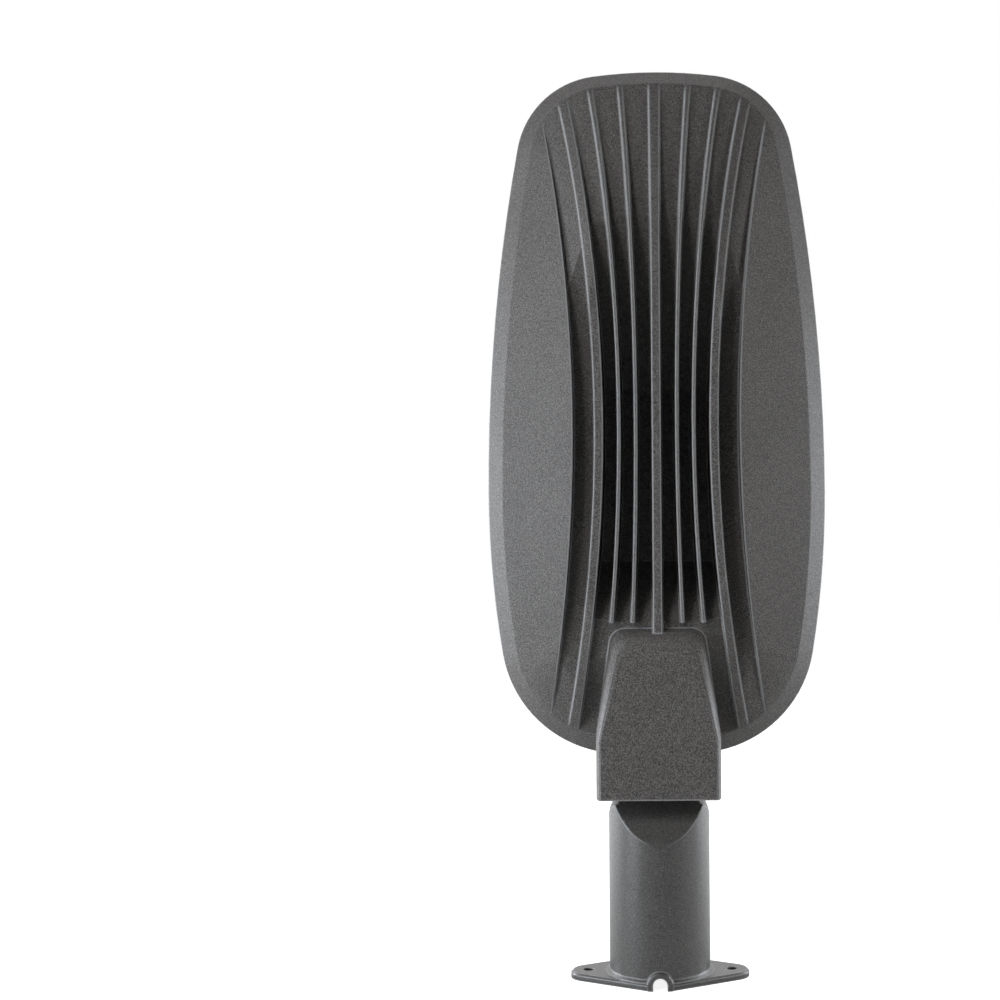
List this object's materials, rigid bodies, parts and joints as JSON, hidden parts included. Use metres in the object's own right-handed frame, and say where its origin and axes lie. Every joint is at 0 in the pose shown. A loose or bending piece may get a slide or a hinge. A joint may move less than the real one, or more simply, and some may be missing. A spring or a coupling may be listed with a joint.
{
  "type": "street light head",
  "caption": "Oblong street light head with waisted cooling ribs, tilting on a wedge-cut spigot sleeve with a wall flange.",
  "frame": {"origin": "centre of the pole bore's mouth, at the flange's bottom face", "axes": "+Z along the sleeve towards the head's tip, -Y towards the cooling ribs, +Y towards the lenses, +X to the right seen from the ribs"},
  "size_m": [0.2022, 0.0743, 0.5412],
  "materials": {
    "cast_housing": "fine-grained dark grey powder coat on die-cast aluminium",
    "clear_lens": "clear moulded polycarbonate",
    "gasket_rubber": "matt silicone rubber",
    "coated_frame": "dark grey powder coat",
    "screw_steel": "stainless steel",
    "board_white": "white solder mask on aluminium",
    "led_yellow": "phosphor-filled silicone",
    "coated_cover": "dark grey powder coat",
    "nylon_black": "black moulded nylon",
    "driver_case": "light grey coated case",
    "terminal_plastic": "cream moulded plastic",
    "surge_plastic": "black moulded plastic",
    "earth_brass": "bright brass",
    "cast_sleeve": "fine-grained dark grey powder coat on cast aluminium"
  },
  "bodies": {
    "sleeve": {"spigot_sleeve": "cast_sleeve", "pole_set_screws": "screw_steel"},
    "head": {"housing": "cast_housing", "lens_plate": "clear_lens", "lens_gasket": "gasket_rubber", "lens_frame": "coated_frame", "lens_screws": "screw_steel", "led_board": "board_white", "led_packages": "led_yellow", "board_screws": "screw_steel", "driver_cover": "coated_cover", "driver_cover_gasket": "gasket_rubber", "driver_cover_screws": "screw_steel", "vent_plug": "nylon_black", "driver": "driver_case", "driver_screws": "screw_steel", "terminal_block": "terminal_plastic", "surge_protector": "surge_plastic", "earth_screw": "earth_brass", "cable_gland": "nylon_black", "gland_nut": "nylon_black", "neck_cover": "coated_cover", "neck_cover_screws": "screw_steel", "pivot_screws": "screw_steel", "pivot_washers": "screw_steel"}
  },
  "joints": [
    {"name": "head_tilt", "type": "hinge", "parent": "sleeve", "child": "head", "pos_m": [0, 0, 0.137], "axis": [1, 0, 0], "range_deg": [-15, 15]}
  ]
}
